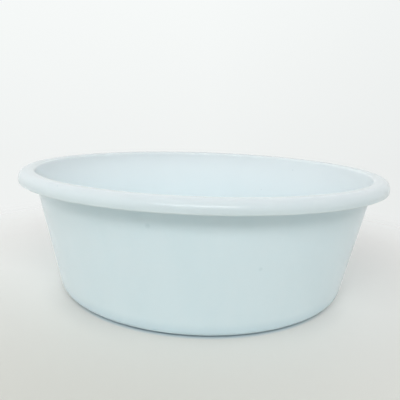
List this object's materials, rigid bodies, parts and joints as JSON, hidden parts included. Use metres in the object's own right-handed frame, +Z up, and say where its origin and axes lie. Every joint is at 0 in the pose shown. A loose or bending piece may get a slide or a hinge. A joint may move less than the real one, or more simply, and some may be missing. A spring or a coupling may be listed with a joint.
{
  "type": "washtub",
  "caption": "Round open washtub moulded in one piece, with a leaning wall, a flat floor on a narrow foot ring, and a broad turned-over rim to lift it by.",
  "frame": {"origin": "on the table, under the middle of the tub", "axes": "+Z up along the tub's axis of symmetry; +X to the right and +Y away from the viewer of the picture"},
  "size_m": [0.38, 0.38, 0.1228],
  "materials": {
    "tub_plastic": "pale sky-blue polypropylene, smooth and softly glossy"
  },
  "bodies": {
    "root": {"tub": "tub_plastic"}
  },
  "joints": []
}
